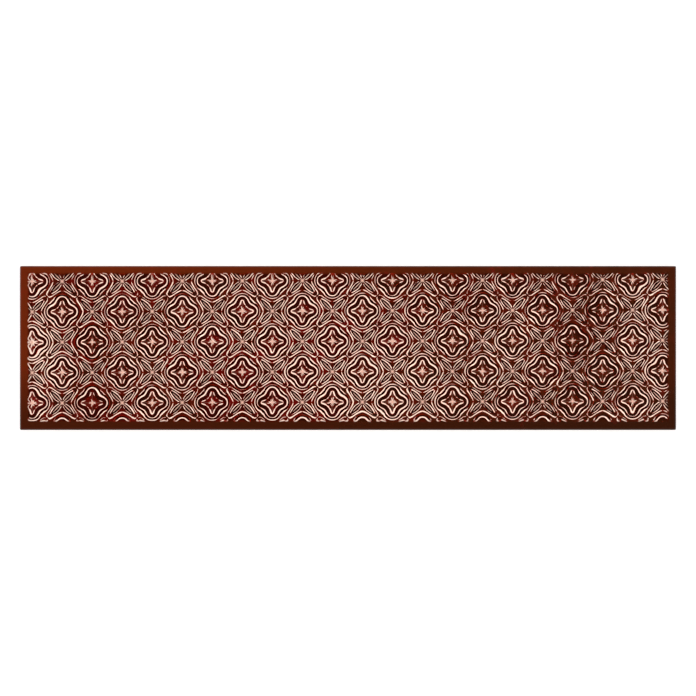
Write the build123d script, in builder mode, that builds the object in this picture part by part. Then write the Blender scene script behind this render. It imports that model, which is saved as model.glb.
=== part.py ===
# Relief wall tile: one pressed and glazed ceramic body with a plain border, a sunk
# ornament of four-pointed stars and four-petalled flowers, and a grooved back.
# The back lies on Z = 0, the glazed face looks along +Z and the long side runs along X.
from build123d import *

import os
from math import ceil, cos, radians, sin

# Body
tile_length = 300.0
tile_width = 75.0
tile_thickness = 8.0
corner_radius = 0.6
face_edge_radius = 1.2
back_edge_chamfer = 0.5

# Plain border between the tile's edge and the ornament
border_left = 3.0
border_right = 2.8
border_front = 3.3
border_back = 2.6

# Ornament lattice: stars and flowers take turns, as the squares of a chessboard do
column_pitch = 13.73
row_pitch = 13.9
first_column_inset = 5.35
first_row_inset = 6.68

# Ornament section: everything is sunk from the face to one floor, with sloped walls
relief_depth = 0.6
wall_slope = 30.0

# Star motif from its centre outwards: boss, star-shaped moat, ring and outer moat.
# A crest is given by its radii at the face and a moat by its radii at the floor.
boss_tip = 2.0
boss_waist = 1.0
inner_moat_tip = 4.6
inner_moat_waist = 2.6
ring_lobe = 6.65
ring_waist = 4.6
outer_moat_lobe = 8.1
outer_moat_waist = 6.6
lobe_half_angle = 16.0

# Flower motif: four petals at the face, in a hollow-sided diamond at the floor
petal_tip = 6.7
petal_joint = 1.9
diamond_corner = 9.2
diamond_side = 3.95

# Back: shallow keying grooves for the adhesive, along the tile
groove_count = 6
groove_pitch = 11.0
groove_width = 4.0
groove_depth = 0.6
groove_end_margin = 9.0
groove_slope = 30.0


def polar_point(radius, angle):
    """The point at this radius and this angle in degrees."""
    return (radius * cos(radians(angle)), radius * sin(radians(angle)))


def quarter_turns(outline):
    """The closed outline that repeats (radius, angle) points in each quarter turn."""
    return [
        polar_point(radius, angle + quarter * 90)
        for quarter in range(4)
        for radius, angle in outline
    ]


def star_outline(tip, waist):
    """Four tips along the axes and four waists between them."""
    return quarter_turns([(tip, 0), (waist, 45)])


def quatrefoil_outline(lobe, waist):
    """Four blunt lobes along the axes and four waists between them."""
    return quarter_turns([(lobe, -lobe_half_angle), (lobe, lobe_half_angle), (waist, 45)])


face_height = tile_thickness
floor_height = face_height - relief_depth

field_length = tile_length - border_left - border_right
field_width = tile_width - border_front - border_back
field_centre_x = (border_left - border_right) / 2
field_centre_y = (border_front - border_back) / 2

# The lattice runs on until its motifs leave the field
first_column_x = first_column_inset - tile_length / 2
first_row_y = tile_width / 2 - first_row_inset
field_right = field_centre_x + field_length / 2
field_front = field_centre_y - field_width / 2
column_count = ceil((field_right + outer_moat_lobe - first_column_x) / column_pitch)
row_count = ceil((first_row_y - field_front + outer_moat_lobe) / row_pitch)
lattice = [(column, row) for column in range(column_count) for row in range(row_count)]


def places(parity):
    """Where the stars (parity 0) or the flowers (parity 1) stand, at the floor."""
    return [
        (first_column_x + column * column_pitch, first_row_y - row * row_pitch, floor_height)
        for column, row in lattice
        if (column + row) % 2 == parity
    ]


# A motif stands on the floor, and its crests widen downwards from the face
motif_face = Plane.XY.offset(relief_depth)

# What is sunk at one star: the outer moat and the star-shaped moat round the boss
with BuildPart() as star_hollow:
    with BuildSketch():
        Polygon(*quatrefoil_outline(outer_moat_lobe, outer_moat_waist), align=None)
    extrude(amount=relief_depth, taper=-wall_slope)
    with BuildSketch(motif_face):
        Polygon(*quatrefoil_outline(ring_lobe, ring_waist), align=None)
    extrude(amount=-relief_depth, taper=-wall_slope, mode=Mode.SUBTRACT)
    with BuildSketch():
        Polygon(*star_outline(inner_moat_tip, inner_moat_waist), align=None)
    extrude(amount=relief_depth, taper=-wall_slope)
    with BuildSketch(motif_face):
        Polygon(*star_outline(boss_tip, boss_waist), align=None)
    extrude(amount=-relief_depth, taper=-wall_slope, mode=Mode.SUBTRACT)

# What is sunk at one flower: a hollow-sided diamond less its four petals
with BuildPart() as flower_hollow:
    with BuildSketch():
        Polygon(*quarter_turns([(diamond_side, 0), (diamond_corner, 45)]), align=None)
    extrude(amount=relief_depth, taper=-wall_slope)
    with BuildSketch(motif_face):
        Polygon(*quarter_turns([(petal_joint, 0), (petal_tip, 45)]), align=None)
    extrude(amount=-relief_depth, taper=-wall_slope, mode=Mode.SUBTRACT)

# The space over the field, inside the plain border
with BuildPart() as field_space:
    with Locations((field_centre_x, field_centre_y, floor_height)):
        Box(field_length, field_width, 2 * relief_depth)


def hollows_in_field(motif, parity):
    """The motif's hollows at its places, each cut off where the plain border starts."""
    hollows = []
    for place in places(parity):
        overlap = motif.moved(Location(place)) & field_space.part
        hollows.extend(overlap.solids())
    return hollows


star_hollows = hollows_in_field(star_hollow.part, 0)
flower_hollows = hollows_in_field(flower_hollow.part, 1)

with BuildPart() as wall_tile:
    with BuildSketch():
        RectangleRounded(tile_length, tile_width, corner_radius)
    extrude(amount=tile_thickness)
    fillet(wall_tile.faces().sort_by(Axis.Z)[-1].edges(), face_edge_radius)
    chamfer(wall_tile.faces().sort_by(Axis.Z)[0].edges(), back_edge_chamfer)

    with BuildSketch():
        with GridLocations(0, groove_pitch, 1, groove_count):
            Rectangle(tile_length - 2 * groove_end_margin, groove_width)
    extrude(amount=groove_depth, taper=groove_slope, mode=Mode.SUBTRACT)

    add(star_hollows + flower_hollows, mode=Mode.SUBTRACT)

wall_tile.part.label = "wall_tile"
os.makedirs("parts", exist_ok=True)
export_step(wall_tile.part, "parts/wall_tile.step")
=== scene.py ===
from math import atan2, ceil, cos, pi, radians, sin, sqrt, tan

import bmesh
import bpy
import numpy as np
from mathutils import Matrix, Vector
from mathutils.geometry import delaunay_2d_cdt


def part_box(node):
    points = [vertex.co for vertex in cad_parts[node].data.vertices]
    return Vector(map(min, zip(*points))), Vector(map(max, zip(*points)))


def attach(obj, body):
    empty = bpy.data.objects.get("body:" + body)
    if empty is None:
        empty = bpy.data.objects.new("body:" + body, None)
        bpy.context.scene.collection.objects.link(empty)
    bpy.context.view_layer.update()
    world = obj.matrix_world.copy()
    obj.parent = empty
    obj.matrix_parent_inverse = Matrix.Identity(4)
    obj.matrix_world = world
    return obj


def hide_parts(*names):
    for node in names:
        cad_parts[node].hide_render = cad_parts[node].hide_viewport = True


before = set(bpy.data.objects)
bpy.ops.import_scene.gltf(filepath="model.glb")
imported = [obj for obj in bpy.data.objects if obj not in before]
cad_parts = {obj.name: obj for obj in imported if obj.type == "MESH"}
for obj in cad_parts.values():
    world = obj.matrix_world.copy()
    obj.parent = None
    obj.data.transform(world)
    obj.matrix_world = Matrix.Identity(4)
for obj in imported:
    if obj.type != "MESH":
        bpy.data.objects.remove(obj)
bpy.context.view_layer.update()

MM = 0.001
low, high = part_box("wall_tile")
tile_length = (high.x - low.x) / MM
tile_width = (high.y - low.y) / MM
tile_thickness = (high.z - low.z) / MM

# Body, in millimetres
CORNER_RADIUS = 0.6
FACE_BEVEL = ((0.5, 0), (0, 0.45))
BACK_CHAMFER = 0.5
OUTLINE_STEP = 3.0
CORNER_STEPS = 4
MIN_CORNER_RADIUS = 0.05
SHARP_ANGLE = 34.0

# Plain border between the tile's edge and the ornament
BORDER_LEFT = 3.0
BORDER_RIGHT = 2.8
BORDER_FRONT = 3.3
BORDER_BACK = 2.6

# Ornament lattice: stars and flowers take turns, as the squares of a chessboard do, and
# the rows climb a little to the right, in degrees
COLUMN_PITCH = 13.73
ROW_PITCH = 13.9
FIRST_COLUMN_INSET = 5.55
FIRST_ROW_INSET = 7.1
LATTICE_SKEW = 0.18

# Keying grooves in the back
GROOVE_COUNT = 6
GROOVE_PITCH = 11.0
GROOVE_WIDTH = 4.0
GROOVE_DEPTH = 0.6
GROOVE_END_MARGIN = 9.0
GROOVE_SLOPE = 30.0

# The ornament's section is a wave. Its phase is counted in half waves outwards from a
# star: even is a crest, odd is a valley. Each ring is given by its distance from the
# star or the flower, as a share of the pitch, at these angles from the lattice's lines.
STAR_ANGLES = (0, 8, 15, 22, 30, 45)
STAR_RINGS = {
    2.0: (0.445, 0.43, 0.38, 0.335, 0.295, 0.275),
    2.5: (0.50, 0.495, 0.475, 0.437, 0.395, 0.365),
    3.0: (0.54, 0.535, 0.52, 0.50, 0.465, 0.425),
    3.5: (0.585, 0.58, 0.57, 0.55, 0.525, 0.49),
    4.0: (0.64, 0.632, 0.615, 0.592, 0.575, 0.565),
    4.5: (0.70, 0.67, 0.65, 0.635, 0.62, 0.707),
}
FLOWER_ANGLES = (0, 8, 15, 22, 30, 37, 45)
FLOWER_RINGS = {
    5.0: (0.15, 0.18, 0.245, 0.315, 0.42, 0.545, 0.645),
    5.5: (0.07, 0.095, 0.15, 0.225, 0.335, 0.45, 0.56),
}
# Single points of the boss and its moat in the star, and of the petals in the flower:
# (distance, angle)
STAR_POINTS = {
    0.1: [(0, 0)],
    0.5: [(0.055, 0), (0.05, 45)],
    0.75: [(0.12, 0), (0.2, 0)],
    1.0: [(0.285, 0), (0.25, 9), (0.2, 13), (0.16, 20), (0.14, 30), (0.135, 45)],
    1.5: [(0.37, 0), (0.3, 9), (0.265, 15), (0.24, 22), (0.215, 30), (0.205, 45)],
}
FLOWER_POINTS = {
    5.2: [(0, 0)],
    6.0: [(0.1, 45), (0.14, 30), (0.2, 30), (0.26, 33), (0.32, 36.5), (0.4, 40), (0.44, 45)],
    6.4: [(0.18, 45), (0.26, 45), (0.34, 45)],
}

# The phase is a sum of standing waves up to this harmonic, fitted to the rings. A little
# smoothing keeps the higher ones small.
HARMONICS = 12
SMOOTHING = 0.01

# Relief: how deep the face lies at each whole phase from 0 on, so at a crest, a valley
# and so on. Each is given on the lattice's lines, at 22.5 degrees and at 45 degrees.
WAVE_DEPTHS = (
    (0.16, 0.1, 0.14),
    (0.425, 0.245, 0.36),
    (0, 0, 0),
    (0.32, 0.39, 0.47),
    (0.035, 0.155, 0.08),
    (0.345, 0.395, 0.425),
    (0.12, 0.12, 0.12),
    (0.16, 0.16, 0.16),
)

# How dark the glaze is at the same phases, from 0 to 1: pooled glaze in the valleys, and painted
# shade on the crest beside the inner star and in the petals, which deepens the dark lines beside
# the highlights
GLAZE_DARKNESS = (0, 0.1, 0.65, 0.85, 0, 0.3, 1, 1)

# The relief and the glaze's colours fade out towards the border over this width, in
# millimetres, and the mesh is cut along the border at these insets
FIELD_FADE = 1.5
RIM_CUTS = (0, 0.4, 0.9)

# The mesh has its nodes where these rays from a star, in degrees, meet the rings of these
# phases. Inside the last ring are rows at these shares of the way out from the flower.
WEDGE_RAYS = (0, 4, 9, 15, 21, 28, 35, 42, 45)
STAR_LEVELS = (
    0.3, 0.5, 0.7, 1.0, 1.3, 1.5, 1.7, 2.0, 2.3, 2.5, 2.7, 3.0, 3.3, 3.5, 3.7, 4.0, 4.3, 4.5,
)
FLOWER_LEVELS = (4.7, 5.0, 5.3, 5.5, 5.7)
FLOWER_SHARES = (0.75, 0.5, 0.25, 0.0)

# The rays are searched for the rings as far as this, in pitches, and at this many places.
# The phase counts as rising at least so little along them.
STAR_REACH = 0.72
RAY_SAMPLES = 401
LEAST_RISE = 1e-6

# Nodes are one where they agree to this many parts of a pitch, and the tolerances of cuts
# and of filled outlines are in millimetres
MERGE_PRECISION = 1e5
CUT_TOLERANCE = 1e-5
SAME_POINT = 1e-6

# The face's unevenness: waves (length, heading, start) and how far each one tilts it
SWAY_WAVES = (
    (7, 160, 1.1), (8.5, 35, 3.3), (11, 95, 0.3), (14, 10, 1.9), (19, 130, 4.1), (27, 60, 5.2),
)
SWAY_TILT = 1.7
SWAY_FADE = 9.0

# Shorter waves that roughen the right part, and where along X they start and are full
ROUGH_WAVES = ((4.1, 70, 0.5), (5.3, 140, 2.0), (3.7, 15, 1.2))
ROUGH_TILT = 2.1
ROUGH_START = -30.0
ROUGH_FULL = 90.0

# The normals are taken from the formula over this distance to each side
NORMAL_REACH = 0.04

# Where the glaze is painted pale: round spots on the star's boss, in the flower's eye and between
# its petals, and lines along the star's arms and the petals' veins. The boss and the eye are
# partly thinned glaze over a raised place and partly painted highlight, and the arms, the veins
# and the spots between the petals are painted highlights where the flanks' reflections meet.
# Radii, distances, half widths and the lines' ends are in millimetres, and the shares say how
# pale.
BOSS_THIN_AND_HIGHLIGHT = (0.95, 0.8)
EYE_THIN_AND_HIGHLIGHT = (1.15, 0.8)
HIGHLIGHT_ARM = (0.25, 0.0, 5.4, 0.45)
HIGHLIGHT_VEIN = (0.27, 0.8, 6.2, 0.8)
HIGHLIGHT_DROP_DISTANCE = 3.8
HIGHLIGHT_DROP = (0.5, 0.55)

# Painted highlights: the glaze is painted pink and then cream where the face is steeper than these
# angles, standing in for the lights' reflections on the flanks, and a little more on the sides
# that look towards one heading, where the brightest light is
HIGHLIGHT_PINK_FROM = (15.5, 20.5)
HIGHLIGHT_CREAM_FROM = (20.6, 23.2)
HIGHLIGHT_LEAN = 1.8
HIGHLIGHT_HEADING = 45.0

# Patches that were pressed deeper, or where the glaze lies smoother: the patch's centre
# from the tile's middle, its radius, and the change of depth as a share
PATCHES = (
    (-146, -2, 14, 0.28), (-128, 29, 9, -0.15), (-117, 2, 12, -0.13), (-116, -27, 13, -0.16),
    (-90, 18, 15, -0.07), (-60, -31, 20, -0.11), (-20, -2, 24, 0.04), (10, -22, 20, 0.1),
    (20, 34, 14, -0.06), (52, 22, 22, -0.1), (56, -6, 12, -0.05), (62, -32, 14, -0.12),
    (88, -26, 16, -0.1), (104, 33, 24, -0.13), (106, 8, 17, -0.16), (114, -20, 18, -0.13),
)

# Colours of the glaze and the clay, as 8-bit screen colours, some with their place on a ramp
MOTTLE_STOPS = ((0.30, (55, 17, 2)), (0.45, (64, 10, 2)), (0.58, (92, 8, 4)), (0.75, (114, 12, 9)))
DRIFT_BROWN = (64, 25, 5)
RIGHT_BROWN = (62, 27, 6)
# Dark glaze: pooled glaze in the valleys, and painted shade on a crest and in the petals
POOLED_GLAZE_AND_SHADE = (26, 3, 1)
# Painted highlights on the sloping flanks, pink and then cream
HIGHLIGHT_PINK = (158, 26, 10)
HIGHLIGHT_CREAM = (255, 228, 210)
# Pale glaze for the spots and lines: thinned glaze and painted highlight
THIN_GLAZE_AND_HIGHLIGHT = (230, 182, 162)
BORDER_STOPS = ((0.35, (63, 25, 7)), (0.62, (72, 26, 8)), (0.72, (112, 16, 18)))
# Painted light towards the left of the border, and painted shade towards its front
BORDER_PAINTED_LIGHT = (115, 39, 12)
BORDER_PAINTED_SHADE = (46, 20, 8)
CLAY_STOPS = ((0.3, (196, 168, 140)), (0.7, (222, 202, 176)))

# How a share changes: the values that it starts and ends at, and the share at both. Places
# are in metres from the tile's middle, along X and in the last of them along Y.
DRIFT_SHARE = (0.4, 0.65, 0.0, 0.5)
# Pooled glaze and painted shade in the dark places
POOLED_AND_SHADE_SHARE = (0.0, 1.0, 0.0, 0.92)
# The pale spots and lines of thinned glaze and painted highlight
THIN_AND_HIGHLIGHT_SHARE = (0.3, 0.75, 0.0, 1.0)
RIGHT_SHARE = (-0.03, 0.12, 0.0, 0.55)
# The border's painted light at the left and painted shade at the front
LEFT_PAINTED_LIGHT_SHARE = (-0.15, 0.15, 0.7, 0.0)
FRONT_PAINTED_SHADE_SHARE = (-0.0375, 0.0, 0.75, 0.0)

# The glaze's roughness from left to right, and the clay's
GLAZE_ROUGHNESS = (-0.02, 0.13, 0.045, 0.1)
GLAZE_IOR = 1.6
CLAY_ROUGHNESS = 0.8

# Sizes of the glaze's mottling and drift of colour, the clay's grain and the glaze's orange
# peel, and how high that peel is, in millimetres
MOTTLE_SIZE = 7.0
DRIFT_SIZE = 38.0
CLAY_GRAIN = 0.8
PEEL_SIZE = 2.2
PEEL_HEIGHT = 0.02

# Where up the edge the clay gives way to the glaze, how far that line sways, and the size
# of its waves, in millimetres
GLAZE_LINE = (1.0, 1.5)
GLAZE_LINE_SWAY = 2.5
GLAZE_LINE_WAVE = 5.0

# Floor: half its side and how far it lies below the tile in metres, and the size of its
# faint clouds in millimetres
FLOOR_HALF = 4.0
FLOOR_DROP = 0.0002
FLOOR_CLOUDS = 60.0
FLOOR_GREYS = ((0.3, (0.49, 0.49, 0.49)), (0.7, (0.51, 0.51, 0.51)))
FLOOR_ROUGHNESS = 0.9
FLOOR_SPECULAR = 0.1
FLOOR_GLOW = 0.62

# Ring of wide weak lights that only reflections show: radiance, elevation and width of
# each, from the right anticlockwise. The last three are beige and the others cream.
RING_LIGHTS = (
    (0.7, 28, 0.72), (1.0, 28.5, 0.73), (0.9, 28, 0.72), (0.7, 26.5, 0.65),
    (0.7, 26, 0.63), (0.6, 26, 0.63), (0.6, 26, 0.63), (0.7, 27, 0.68),
)
RING_LENGTH = 0.84
CREAM_LIGHT = (1.0, 0.72, 0.60)
BEIGE_LIGHT = (1.0, 0.74, 0.58)
CREAM_COUNT = 5

# Small bright lights for the sparkle: radiance, azimuth and elevation
SPARKLE_LIGHTS = ((10, 40, 38), (7, 215, 37), (6, 120, 36))
SPARKLE_SIZE = (0.4, 0.16)
GLOSS_LIGHT_DISTANCE = 1.0

# Large white lights that light the scene and that reflections don't show
TOP_AZIMUTHS = (45, 135, 225, 315)
TOP_ELEVATION = 62
TOP_DISTANCE = 2.2
TOP_SIZE = (1.6, 1.6)
TOP_RADIANCE = 2.1

# Surroundings: the heights between which they go from pale to dark, and their strengths
SURROUNDINGS = (0.05, 0.45, 0.8, 0.005)

# Camera, in metres, with the sensor in millimetres
CAMERA_HEIGHT = 2.5
VIEW_WIDTH = 0.3182
SENSOR_WIDTH = 36.0
FAR_CLIP = 20


field_left = BORDER_LEFT - tile_length / 2
field_right = tile_length / 2 - BORDER_RIGHT
field_front = BORDER_FRONT - tile_width / 2
field_back = tile_width / 2 - BORDER_BACK
first_column_x = FIRST_COLUMN_INSET - tile_length / 2
first_row_y = tile_width / 2 - FIRST_ROW_INSET


# The ring phase
wave_numbers = [(m, n) for m in range(HARMONICS + 1) for n in range(m + 1) if (m + n) % 2 == 0]


def waves(u, v):
    """The lattice's own standing waves at (u, v), which is counted in pitches from a star."""
    return np.stack(
        [
            np.cos(pi * m * u) * np.cos(pi * n * v) + np.cos(pi * n * u) * np.cos(pi * m * v)
            for m, n in wave_numbers
        ],
        axis=-1,
    )


def ring_points():
    """The (u, v) and the phase of each point that the rings pass through."""
    points = []
    for rings, angles, flower in (
        (STAR_RINGS, STAR_ANGLES, False),
        (FLOWER_RINGS, FLOWER_ANGLES, True),
    ):
        for level, radii in rings.items():
            points += [(radius, angle, level, flower) for radius, angle in zip(radii, angles)]
    for singles, flower in ((STAR_POINTS, False), (FLOWER_POINTS, True)):
        for level, places in singles.items():
            points += [(radius, angle, level, flower) for radius, angle in places]
    spots = []
    for radius, angle, level, flower in points:
        along = radius * cos(radians(angle))
        spots.append((1 - along if flower else along, radius * sin(radians(angle)), level))
    return np.array(spots)


def solve_waves():
    """How much of each wave makes the phase pass through the rings."""
    spots = ring_points()
    fit = waves(spots[:, 0], spots[:, 1])
    damping = np.diag([SMOOTHING * (m * m + n * n) for m, n in wave_numbers])
    target = np.concatenate([spots[:, 2], np.zeros(len(wave_numbers))])
    return np.linalg.lstsq(np.vstack([fit, damping]), target, rcond=None)[0]


wave_shares = solve_waves()


def ring_phase(u, v):
    return waves(u, v) @ wave_shares


# The mesh of the ornament, laid along its rings
def meet_rings(start, end, levels):
    """Where the line from start to end first reaches each of these phases."""
    shares = np.linspace(0, 1, RAY_SAMPLES)
    points = start + np.outer(shares, end - start)
    phase = np.maximum.accumulate(ring_phase(points[:, 0], points[:, 1]))
    found = np.interp(levels, phase + shares * LEAST_RISE, shares)
    return start + np.outer(found, end - start)


def wedge_nodes():
    """Rows of nodes from a star to the next flower, each row along one ring.

    The wedge is an eighth of the pattern's repeat: it lies between a star's centre, a
    flower's centre and the saddle halfway to the next star, and each row has a node on
    every ray."""
    star = np.array([0.0, 0.0])
    flower = np.array([1.0, 0.0])
    saddle = np.array([0.5, 0.5])
    angles = np.radians(WEDGE_RAYS)
    ends = STAR_REACH * np.stack([np.cos(angles), np.sin(angles)], axis=-1)
    ends[-1] = saddle
    star_rows = np.stack([meet_rings(star, end, STAR_LEVELS) for end in ends], axis=1)
    star_rows[-1, -1] = saddle
    outer = star_rows[-1]
    flower_rows = np.stack([meet_rings(start, flower, FLOWER_LEVELS) for start in outer], axis=1)
    inner = flower_rows[-1]
    middle_rows = [flower + share * (inner - flower) for share in FLOWER_SHARES]
    return np.array([np.zeros_like(outer), *star_rows, *flower_rows, *middle_rows])


def wedge_faces(row_count, node_count):
    """Quads between the rows, as node numbers."""
    row, node = np.meshgrid(np.arange(row_count - 1), np.arange(node_count - 1), indexing="ij")
    corner = (row * node_count + node).ravel()
    return np.stack([corner, corner + 1, corner + node_count + 1, corner + node_count], axis=-1)


def lattice_mesh():
    """The flat net of the ornament: every star with its quarters of the flowers around it."""
    wedge = wedge_nodes()
    quads = wedge_faces(wedge.shape[0], wedge.shape[1])
    nodes = wedge.reshape(-1, 2)
    mirrored = [
        np.stack([a * nodes[:, p], b * nodes[:, 1 - p]], axis=-1)
        for p in (0, 1)
        for a in (1, -1)
        for b in (1, -1)
    ]
    star = np.concatenate(mirrored)
    star_quads = np.concatenate([quads + i * len(nodes) for i in range(len(mirrored))])

    columns = ceil((field_right - first_column_x) / COLUMN_PITCH) + 1
    rows = ceil((first_row_y - field_front) / ROW_PITCH) + 1
    centres = [
        (column, row)
        for column in range(-1, columns + 1)
        for row in range(-1, rows + 1)
        if (column + row) % 2 == 0
    ]
    net = np.concatenate([star + centre for centre in centres])
    net_quads = np.concatenate([star_quads + i * len(star) for i in range(len(centres))])
    places = np.round(net * MERGE_PRECISION).astype(np.int64)
    keys, merged = np.unique(places, axis=0, return_inverse=True)
    first = np.zeros(len(keys), int)
    first[merged.ravel()] = np.arange(len(net))
    return net[first], merged.ravel()[net_quads]


def to_tile(net):
    """Places on the tile, in millimetres, of (u, v) lattice points."""
    x = first_column_x + net[:, 0] * COLUMN_PITCH
    y = first_row_y - net[:, 1] * ROW_PITCH + (x - field_left) * tan(radians(LATTICE_SKEW))
    return np.stack([x, y], axis=-1)


def to_lattice(x, y):
    u = (x - first_column_x) / COLUMN_PITCH
    v = (first_row_y - y + (x - field_left) * tan(radians(LATTICE_SKEW))) / ROW_PITCH
    return u, v


def field_mesh():
    """The ornament's net cut off at the border: points in the plane, and faces."""
    net, quads = lattice_mesh()
    flat = to_tile(net)
    reach = COLUMN_PITCH
    inside = (
        (flat[:, 0] > field_left - reach) & (flat[:, 0] < field_right + reach)
        & (flat[:, 1] > field_front - reach) & (flat[:, 1] < field_back + reach)
    )
    quads = quads[inside[quads].all(axis=1)]
    bm = bmesh.new()
    verts = [bm.verts.new((x, y, 0)) for x, y in flat]
    for quad in quads:
        corners = list(dict.fromkeys(quad.tolist()))
        if len(corners) > 2:
            bm.faces.new([verts[i] for i in corners])
    for inset in RIM_CUTS:
        for place, outward in (
            ((field_left + inset, 0, 0), (-1, 0, 0)),
            ((field_right - inset, 0, 0), (1, 0, 0)),
            ((0, field_front + inset, 0), (0, -1, 0)),
            ((0, field_back - inset, 0), (0, 1, 0)),
        ):
            bmesh.ops.bisect_plane(
                bm,
                geom=bm.verts[:] + bm.edges[:] + bm.faces[:],
                dist=CUT_TOLERANCE,
                plane_co=place,
                plane_no=outward,
                clear_outer=inset == 0,
            )
    bmesh.ops.delete(bm, geom=[v for v in bm.verts if not v.link_faces], context="VERTS")
    bm.verts.index_update()
    points = np.array([v.co.to_tuple()[:2] for v in bm.verts])
    faces = [[v.index for v in face.verts] for face in bm.faces]
    rim = [v.index for v in bm.verts if v.is_boundary]
    bm.free()
    return points, faces, rim


# Heights
def soft_spot(x, y, centre_x, centre_y, radius):
    """1 at the centre, falling off smoothly round it."""
    return np.exp(-((x - centre_x) ** 2 + (y - centre_y) ** 2) / radius**2)


def star_angle(u, v):
    """The angle round the nearest star, in radians."""
    across, along = np.round((u + v) / 2), np.round((u - v) / 2)
    return np.arctan2(v - across + along, u - across - along)


def wave_depth(x, y, phase):
    """How deep the wave lies at each point, in millimetres."""
    # Round a star, a parabola joins the depths on the lattice's lines, between and at 45 degrees
    turn = (1 - np.cos(4 * star_angle(*to_lattice(x, y)))) / 2
    weights = np.stack([(1 - turn) * (1 - 2 * turn), 4 * turn * (1 - turn), turn * (2 * turn - 1)])
    depths = np.array(WAVE_DEPTHS)
    phase = np.clip(phase, 0, len(depths) - 1.001)
    level = phase.astype(int)

    # Outwards, a wave with narrow steep flanks joins each depth to the next
    fall = np.cos(pi * (phase - level))
    share = (2 - 3 * fall + fall**3) / 4
    near = (depths[level] * weights.T).sum(axis=1)
    far = (depths[level + 1] * weights.T).sum(axis=1)
    depth = near + share * (far - near)
    return depth * (1 + sum(soft_spot(x, y, *place) * change for *place, change in PATCHES))


def sway(x, y):
    """How far the uneven face lies below its highest places, in millimetres."""
    roughness = np.clip((x - ROUGH_START) / (ROUGH_FULL - ROUGH_START), 0, 1)
    total = 0
    for waves_here, tilt, share in (
        (SWAY_WAVES, SWAY_TILT, 1),
        (ROUGH_WAVES, ROUGH_TILT, roughness),
    ):
        for length, heading, start in waves_here:
            height = share * length / (2 * pi) * tan(radians(tilt))
            along = x * cos(radians(heading)) + y * sin(radians(heading))
            total = total + height * (1 + np.sin(2 * pi * along / length + start))
    return total * border_fade(x, y, SWAY_FADE)


def border_fade(x, y, width):
    """0 at the field's rim, rising to 1 within this width."""
    gap = np.minimum.reduce([x - field_left, field_right - x, y - field_front, field_back - y])
    share = np.clip(gap / width, 0, 1)
    return share * share * (3 - 2 * share)


def relief(x, y):
    """How deep the ornament lies at each point, in millimetres, and how dark its glaze is."""
    phase = ring_phase(*to_lattice(x, y))
    fade = border_fade(x, y, FIELD_FADE)
    # The darkness is partly pooled glaze in the valleys and partly painted shade on a crest and in
    # the petals
    darkness = np.interp(phase, range(len(GLAZE_DARKNESS)), GLAZE_DARKNESS)
    return wave_depth(x, y, phase) * fade, darkness * fade


def face_depth(x, y):
    """How far the glazed face lies below its highest places, in millimetres."""
    return relief(x, y)[0] + sway(x, y)


def face_normals(x, y):
    """The glazed face's normals, as exact as the formula and not as coarse as the mesh."""
    reach = NORMAL_REACH
    across = (face_depth(x + reach, y) - face_depth(x - reach, y)) / (2 * reach)
    along = (face_depth(x, y + reach) - face_depth(x, y - reach)) / (2 * reach)
    normals = np.column_stack([across, along, np.ones(len(x))])
    return normals / np.linalg.norm(normals, axis=1)[:, None]


def highlight_tilt(normals):
    """How far the face tilts, in degrees, with the painted highlights' lean towards one heading.
    """
    tilt = np.degrees(np.arccos(normals[:, 2]))
    heading = np.arctan2(normals[:, 1], normals[:, 0])
    return tilt + HIGHLIGHT_LEAN * np.cos(heading - radians(HIGHLIGHT_HEADING))


def spot(away, radius, share):
    """A round spot where the glaze is painted pale."""
    return share * np.exp(-((away / radius) ** 2))


def line(aside, along, half_width, start, end, share):
    """A line of painted highlight whose ends fade over 1 mm."""
    ends = np.clip(along - start, 0, 1) * np.clip(end - along, 0, 1)
    return share * ends * np.exp(-((aside / half_width) ** 2))


def thin_glaze_and_highlights(x, y):
    """How pale the glaze is painted at each point, from 0 to 1: thinned glaze and painted
    highlight on the boss and in the eye, and painted highlights along the arms and veins and
    between the petals.
    """
    u, v = to_lattice(x, y)
    across, along = np.round(u), np.round(v)
    on_star = (across + along) % 2 == 0
    u, v = (u - across) * COLUMN_PITCH, (v - along) * ROW_PITCH
    away = np.hypot(u, v)
    near, far = np.minimum(abs(u), abs(v)), np.maximum(abs(u), abs(v))
    from_star = np.where(on_star, away, COLUMN_PITCH)
    arm = line(near, np.where(on_star, far, -1), *HIGHLIGHT_ARM)
    flower_aside = (far - near) / sqrt(2)
    vein = line(flower_aside, np.where(on_star, -1, (far + near) / sqrt(2)), *HIGHLIGHT_VEIN)
    eye = spot(np.where(on_star, COLUMN_PITCH, away), *EYE_THIN_AND_HIGHLIGHT)
    from_drop = np.where(on_star, COLUMN_PITCH, np.hypot(far - HIGHLIGHT_DROP_DISTANCE, near))
    drop = spot(from_drop, *HIGHLIGHT_DROP)
    thin_and_highlight = np.maximum.reduce([spot(from_star, *BOSS_THIN_AND_HIGHLIGHT), arm, vein, eye, drop])
    return thin_and_highlight * border_fade(x, y, FIELD_FADE)


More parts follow.
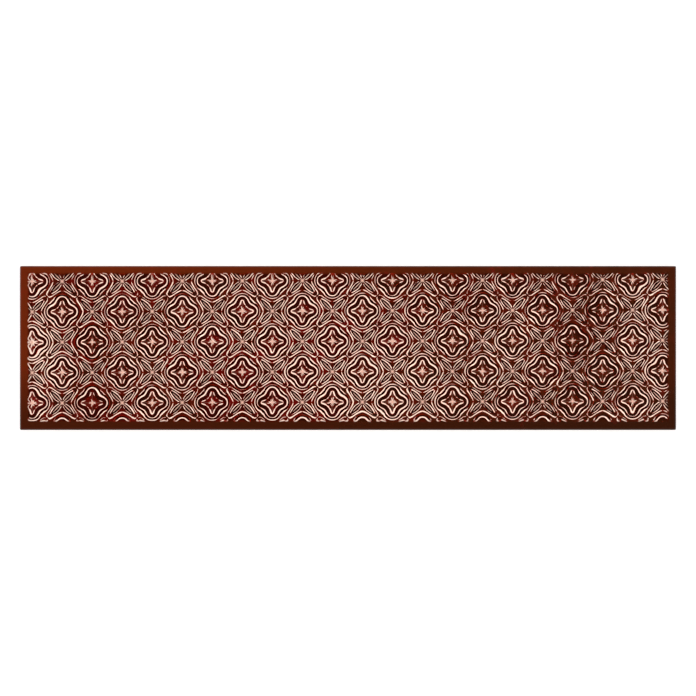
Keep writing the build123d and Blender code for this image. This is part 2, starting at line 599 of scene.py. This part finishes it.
# The tile's mesh
class Shell:
    """Vertices and faces that are gathered for one closed mesh, in millimetres."""

    def __init__(self):
        self.points = []
        self.faces = []

    def add_points(self, points):
        start = len(self.points)
        self.points += [tuple(point) for point in points]
        return list(range(start, len(self.points)))

    def add_faces(self, faces):
        self.faces += [list(face) for face in faces]

    def bridge(self, loop, next_loop):
        """Quads between two loops of as many points."""
        count = len(loop)
        for i in range(count):
            j = (i + 1) % count
            self.faces.append([loop[i], loop[j], next_loop[j], next_loop[i]])

    def fill(self, loops, keep):
        """Fills the flat space between loops with triangles where keep(x, y) is true."""
        numbers = [i for loop in loops for i in loop]
        flat = [Vector(self.points[i][:2]) for i in numbers]
        edges = []
        start = 0
        for loop in loops:
            count = len(loop)
            edges += [(start + i, start + (i + 1) % count) for i in range(count)]
            start += count
        corners, _, triangles, origins, _, _ = delaunay_2d_cdt(flat, edges, [], 0, SAME_POINT)
        source = [numbers[origin[0]] for origin in origins]
        for face in triangles:
            middle = sum((corners[i] for i in face), Vector((0, 0))) / len(face)
            if keep(middle.x, middle.y):
                self.faces.append([source[i] for i in face])


def outline(inset):
    """Points round the tile's outline at this inset, as many at every inset."""
    radius = max(CORNER_RADIUS - inset, MIN_CORNER_RADIUS)
    half_length = tile_length / 2 - inset - radius
    half_width = tile_width / 2 - inset - radius
    arcs = []
    for turn, (side_x, side_y) in enumerate(((1, 1), (-1, 1), (-1, -1), (1, -1))):
        x, y = side_x * half_length, side_y * half_width
        angles = [radians(90 * (turn + k / CORNER_STEPS)) for k in range(CORNER_STEPS + 1)]
        arcs.append([(x + radius * cos(angle), y + radius * sin(angle)) for angle in angles])

    # Each corner's arc is followed by the side that leads to the next one
    side_steps = (round(tile_length / OUTLINE_STEP), round(tile_width / OUTLINE_STEP))
    points = []
    for turn, arc in enumerate(arcs):
        (x, y), (next_x, next_y) = arc[-1], arcs[(turn + 1) % len(arcs)][0]
        shares = [k / side_steps[turn % 2] for k in range(1, side_steps[turn % 2])]
        points += arc
        points += [(x + share * (next_x - x), y + share * (next_y - y)) for share in shares]
    return points


def in_field(x, y):
    return field_left < x < field_right and field_front < y < field_back


def round_the_rim(points, rim):
    """The rim's points in order round the field."""
    middle_x = (field_left + field_right) / 2
    middle_y = (field_front + field_back) / 2
    half_length = (field_right - field_left) / 2
    half_width = (field_back - field_front) / 2

    def turn(i):
        x, y = points[i]
        return atan2((y - middle_y) / half_width, (x - middle_x) / half_length)

    return sorted(rim, key=turn)


def rectangle(length, width, centre_y, z):
    return [
        (x, centre_y + y, z)
        for x, y in (
            (length / 2, width / 2),
            (-length / 2, width / 2),
            (-length / 2, -width / 2),
            (length / 2, -width / 2),
        )
    ]


def add_back(shell, rim):
    """The back face with its grooves."""
    length = tile_length - 2 * GROOVE_END_MARGIN
    narrowing = 2 * GROOVE_DEPTH * tan(radians(GROOVE_SLOPE))
    centres = [(i - (GROOVE_COUNT - 1) / 2) * GROOVE_PITCH for i in range(GROOVE_COUNT)]
    mouths = []
    for centre in centres:
        mouth = shell.add_points(rectangle(length, GROOVE_WIDTH, centre, 0))
        floor = shell.add_points(
            rectangle(length - narrowing, GROOVE_WIDTH - narrowing, centre, GROOVE_DEPTH)
        )
        shell.bridge(mouth, floor)
        shell.add_faces([floor])
        mouths.append(mouth)

    def on_land(x, y):
        in_groove = any(abs(y - centre) < GROOVE_WIDTH / 2 for centre in centres)
        return not (in_groove and abs(x) < length / 2)

    shell.fill([rim] + mouths, on_land)


def tile_mesh():
    shell = Shell()
    points, faces, rim = field_mesh()
    x, y = points[:, 0], points[:, 1]
    shell.add_points(np.column_stack([points, tile_thickness - face_depth(x, y)]))
    shell.add_faces(faces)

    profile = [(inset, tile_thickness - drop) for inset, drop in FACE_BEVEL]
    profile += [(0, tile_thickness / 2), (0, BACK_CHAMFER), (BACK_CHAMFER, 0)]
    loops = [
        shell.add_points([(x, y, z) for x, y in outline(inset)]) for inset, z in profile
    ]
    shell.fill([round_the_rim(points, rim), loops[0]], lambda x, y: not in_field(x, y))
    for loop, next_loop in zip(loops, loops[1:]):
        shell.bridge(loop, next_loop)
    add_back(shell, loops[-1])

    mesh = bpy.data.meshes.new("relief_tile")
    mesh.from_pydata([Vector(p) * MM for p in shell.points], [], shell.faces)
    bm = bmesh.new()
    bm.from_mesh(mesh)
    bmesh.ops.recalc_face_normals(bm, faces=bm.faces)
    for face in bm.faces:
        face.smooth = True
    bm.to_mesh(mesh)
    bm.free()
    mesh.set_sharp_from_angle(angle=radians(SHARP_ANGLE))

    # A normal of no length leaves Blender's own normal in place
    field_normals = face_normals(x, y)
    normals = np.zeros((len(mesh.vertices), 3))
    normals[: len(points)] = field_normals
    normals[rim] = 0
    corners = np.zeros(len(mesh.loops), int)
    mesh.loops.foreach_get("vertex_index", corners)
    mesh.normals_split_custom_set(normals[corners].tolist())

    # Attributes for the glaze: darkness for pooled glaze and painted shade, the tilt that places
    # the painted highlights, and the pale spots and lines of thinned glaze and painted highlight
    for name, in_the_field, elsewhere in (
        ("darkness", relief(x, y)[1], 0),
        ("rim", 1 - border_fade(x, y, FIELD_FADE), 1),
        ("thin_and_highlight", thin_glaze_and_highlights(x, y), 0),
        ("highlight_steep", highlight_tilt(field_normals), 0),
    ):
        values = np.full(len(mesh.vertices), elsewhere, np.float32)
        values[: len(points)] = in_the_field
        mesh.attributes.new(name, "FLOAT", "POINT").data.foreach_set("value", values)
    return mesh


# Materials
def smooth_range(tree, value, limits):
    """The value mapped smoothly from one range to another, as four limits give them."""
    node = tree.nodes.new("ShaderNodeMapRange")
    node.interpolation_type = "SMOOTHSTEP"
    for key, number in zip(("From Min", "From Max", "To Min", "To Max"), limits):
        node.inputs[key].default_value = number
    tree.links.new(value, node.inputs["Value"])
    return node.outputs["Result"]


class Nodes:
    """Short ways to build a material's nodes."""

    def __init__(self, name):
        self.material = bpy.data.materials.new(name)
        self.material.use_nodes = True
        self.tree = self.material.node_tree
        self.shader = self.tree.nodes["Principled BSDF"]
        self.place = self.tree.nodes.new("ShaderNodeTexCoord").outputs["Object"]

    def link(self, source, target):
        self.tree.links.new(source, target)

    def put(self, value, socket):
        """Links a socket's value in, or sets it where it is a number or a colour."""
        if isinstance(value, tuple):
            socket.default_value = (*value, 1)
        elif isinstance(value, (int, float)):
            socket.default_value = value
        else:
            self.link(value, socket)

    def noise(self, size_mm, detail=3.0, roughness=0.5):
        node = self.tree.nodes.new("ShaderNodeTexNoise")
        node.inputs["Scale"].default_value = 1 / (size_mm * MM)
        node.inputs["Detail"].default_value = detail
        node.inputs["Roughness"].default_value = roughness
        self.link(self.place, node.inputs["Vector"])
        return node.outputs["Fac"]

    def attribute(self, name):
        node = self.tree.nodes.new("ShaderNodeAttribute")
        node.attribute_name = name
        return node.outputs["Fac"]

    def ramp(self, factor, stops):
        node = self.tree.nodes.new("ShaderNodeValToRGB")
        elements = node.color_ramp.elements
        while len(elements) < len(stops):
            elements.new(0.5)
        for element, (position, colour) in zip(elements, stops):
            element.position = position
            element.color = (*colour, 1)
        self.link(factor, node.inputs["Fac"])
        return node.outputs["Color"]

    def remap(self, value, *limits):
        return smooth_range(self.tree, value, limits)

    def mix(self, factor, first, second):
        # The node has sockets of one name for each type, so its colours go by number
        factor_socket, first_colour, second_colour, result = 0, 6, 7, 2
        node = self.tree.nodes.new("ShaderNodeMix")
        node.data_type = "RGBA"
        self.put(factor, node.inputs[factor_socket])
        self.put(first, node.inputs[first_colour])
        self.put(second, node.inputs[second_colour])
        return node.outputs[result]

    def math(self, operation, *values):
        node = self.tree.nodes.new("ShaderNodeMath")
        node.operation = operation
        for value, socket in zip(values, node.inputs):
            self.put(value, socket)
        return node.outputs[0]

    def bump(self, height, distance_mm):
        node = self.tree.nodes.new("ShaderNodeBump")
        node.inputs["Distance"].default_value = distance_mm * MM
        self.link(height, node.inputs["Height"])
        return node.outputs["Normal"]


def srgb(red, green, blue):
    """Linear colour of an 8-bit screen colour."""
    return tuple(
        c / 12.92 if c <= 0.04045 else ((c + 0.055) / 1.055) ** 2.4
        for c in (red / 255, green / 255, blue / 255)
    )


def screen_stops(stops):
    return [(position, srgb(*colour)) for position, colour in stops]


def field_colour(nodes, mottle, along_x):
    """The ornament's glaze: mottled red, with pooled glaze and painted shade in the dark places,
    painted highlights on the sloping flanks, and pale spots and lines of thinned glaze and painted
    highlight.
    """
    drift = nodes.remap(nodes.noise(DRIFT_SIZE, detail=2), *DRIFT_SHARE)
    darkness = nodes.remap(nodes.attribute("darkness"), *POOLED_AND_SHADE_SHARE)
    highlight_steep = nodes.attribute("highlight_steep")
    thin_and_highlight = nodes.remap(nodes.attribute("thin_and_highlight"), *THIN_AND_HIGHLIGHT_SHARE)
    colour = nodes.ramp(mottle, screen_stops(MOTTLE_STOPS))
    # Mixed in turn: drift, the right's brown, pooled glaze and painted shade, the painted
    # highlights in pink and cream, and the pale spots and lines
    for share, shade in (
        (drift, DRIFT_BROWN),
        (nodes.remap(along_x, *RIGHT_SHARE), RIGHT_BROWN),
        (darkness, POOLED_GLAZE_AND_SHADE),
        (nodes.remap(highlight_steep, *HIGHLIGHT_PINK_FROM, 0, 1), HIGHLIGHT_PINK),
        (nodes.remap(highlight_steep, *HIGHLIGHT_CREAM_FROM, 0, 1), HIGHLIGHT_CREAM),
        (thin_and_highlight, THIN_GLAZE_AND_HIGHLIGHT),
    ):
        colour = nodes.mix(share, colour, srgb(*shade))
    return colour


def border_colour(nodes, mottle, along_x, along_y):
    """Plain brown with a few red specks, with painted light at the left and painted shade at the
    front.
    """
    colour = nodes.ramp(mottle, screen_stops(BORDER_STOPS))
    # Painted light towards the left, then painted shade towards the front
    colour = nodes.mix(nodes.remap(along_x, *LEFT_PAINTED_LIGHT_SHARE), colour, srgb(*BORDER_PAINTED_LIGHT))
    return nodes.mix(nodes.remap(along_y, *FRONT_PAINTED_SHADE_SHARE), colour, srgb(*BORDER_PAINTED_SHADE))


def glaze_material():
    nodes = Nodes("red_glaze")
    separate = nodes.tree.nodes.new("ShaderNodeSeparateXYZ")
    nodes.link(nodes.place, separate.inputs[0])
    along_x, along_y, height = separate.outputs
    mottle = nodes.noise(MOTTLE_SIZE, detail=4, roughness=0.6)
    field = field_colour(nodes, mottle, along_x)
    border = border_colour(nodes, mottle, along_x, along_y)
    face = nodes.mix(nodes.attribute("rim"), field, border)

    # The glaze stops short of the back in an uneven line, and the clay below it is bare
    waviness = nodes.noise(GLAZE_LINE_WAVE)
    line_height = nodes.math("MULTIPLY_ADD", waviness, -GLAZE_LINE_SWAY * MM, height)
    line_start, line_end = GLAZE_LINE
    glazed = nodes.remap(line_height, line_start * MM, line_end * MM, 0, 1)
    grain = nodes.noise(CLAY_GRAIN, detail=5, roughness=0.7)
    clay = nodes.ramp(grain, screen_stops(CLAY_STOPS))
    nodes.put(nodes.mix(glazed, clay, face), nodes.shader.inputs["Base Color"])

    # The glaze is duller towards the right, and the clay is matt
    glaze_roughness = nodes.remap(along_x, *GLAZE_ROUGHNESS)
    added_roughness = nodes.remap(glazed, 0, 1, CLAY_ROUGHNESS, 0)
    roughness = nodes.math("ADD", glaze_roughness, added_roughness)
    nodes.put(roughness, nodes.shader.inputs["Roughness"])
    nodes.put(GLAZE_IOR, nodes.shader.inputs["IOR"])
    peel = nodes.bump(nodes.noise(PEEL_SIZE, detail=2), PEEL_HEIGHT)
    nodes.put(peel, nodes.shader.inputs["Normal"])
    return nodes.material


def floor_material():
    nodes = Nodes("pale_floor")
    for key, value in (
        ("Base Color", nodes.ramp(nodes.noise(FLOOR_CLOUDS, detail=2), FLOOR_GREYS)),
        ("Roughness", FLOOR_ROUGHNESS),
        ("Specular IOR Level", FLOOR_SPECULAR),
        ("Emission Color", (1, 1, 1)),
        ("Emission Strength", FLOOR_GLOW),
    ):
        nodes.put(value, nodes.shader.inputs[key])
    return nodes.material


# Studio
def add_softbox(name, azimuth, elevation, distance, size, radiance, colour, glossy):
    """A light aimed at the tile that shows only in reflections, or only outside them."""
    light = bpy.data.lights.new(name, "AREA")
    light.color = colour
    light.shape = "RECTANGLE"
    light.size, light.size_y = size
    light.energy = radiance * pi * size[0] * size[1]
    box = bpy.data.objects.new(name, light)
    bpy.context.scene.collection.objects.link(box)
    a, e = radians(azimuth), radians(elevation)
    box.location = (distance * cos(e) * cos(a), distance * cos(e) * sin(a), distance * sin(e))
    box.rotation_euler = (-box.location).to_track_quat("-Z", "Y").to_euler()
    box.visible_diffuse = not glossy
    box.visible_glossy = glossy


def add_lights():
    near = GLOSS_LIGHT_DISTANCE
    turn = 360 / len(RING_LIGHTS)
    for k, (radiance, elevation, width) in enumerate(RING_LIGHTS):
        colour = CREAM_LIGHT if k < CREAM_COUNT else BEIGE_LIGHT
        size = (RING_LENGTH, width)
        add_softbox(f"ring_{k}", turn * k, elevation, near, size, radiance, colour, True)
    for k, (radiance, azimuth, elevation) in enumerate(SPARKLE_LIGHTS):
        name = f"sparkle_{k}"
        add_softbox(name, azimuth, elevation, near, SPARKLE_SIZE, radiance, CREAM_LIGHT, True)
    for k, azimuth in enumerate(TOP_AZIMUTHS):
        place = (azimuth, TOP_ELEVATION, TOP_DISTANCE)
        add_softbox(f"top_{k}", *place, TOP_SIZE, TOP_RADIANCE, (1, 1, 1), False)


def add_surroundings():
    """Surroundings that are pale at the horizon and dark overhead."""
    world = bpy.data.worlds.new("studio")
    world.use_nodes = True
    bpy.context.scene.world = world
    tree = world.node_tree
    direction = tree.nodes.new("ShaderNodeTexCoord")
    separate = tree.nodes.new("ShaderNodeSeparateXYZ")
    tree.links.new(direction.outputs["Generated"], separate.inputs[0])
    pale = smooth_range(tree, separate.outputs["Z"], SURROUNDINGS)
    background = tree.nodes["Background"]
    background.inputs["Color"].default_value = (1, 1, 1, 1)
    tree.links.new(pale, background.inputs["Strength"])


def add_floor():
    mesh = bpy.data.meshes.new("floor")
    corners = [(-1, -1), (1, -1), (1, 1), (-1, 1)]
    points = [(x * FLOOR_HALF, y * FLOOR_HALF, 0) for x, y in corners]
    mesh.from_pydata(points, [], [(0, 1, 2, 3)])
    floor = bpy.data.objects.new("floor", mesh)
    bpy.context.scene.collection.objects.link(floor)
    floor.location.z = -FLOOR_DROP
    mesh.materials.append(floor_material())


def add_camera():
    data = bpy.data.cameras.new("camera")
    data.sensor_width = SENSOR_WIDTH
    data.lens = SENSOR_WIDTH * (CAMERA_HEIGHT - tile_thickness * MM) / VIEW_WIDTH
    data.clip_end = FAR_CLIP
    camera = bpy.data.objects.new("camera", data)
    camera.location = (0, 0, CAMERA_HEIGHT)
    bpy.context.scene.collection.objects.link(camera)
    bpy.context.scene.camera = camera


def add_tile():
    tile = bpy.data.objects.new("relief_tile", tile_mesh())
    bpy.context.scene.collection.objects.link(tile)
    tile.data.materials.append(glaze_material())
    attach(tile, "root")
    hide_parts("wall_tile")


add_camera()
add_lights()
add_surroundings()
add_floor()
add_tile()
bpy.context.scene.view_settings.view_transform = "Standard"
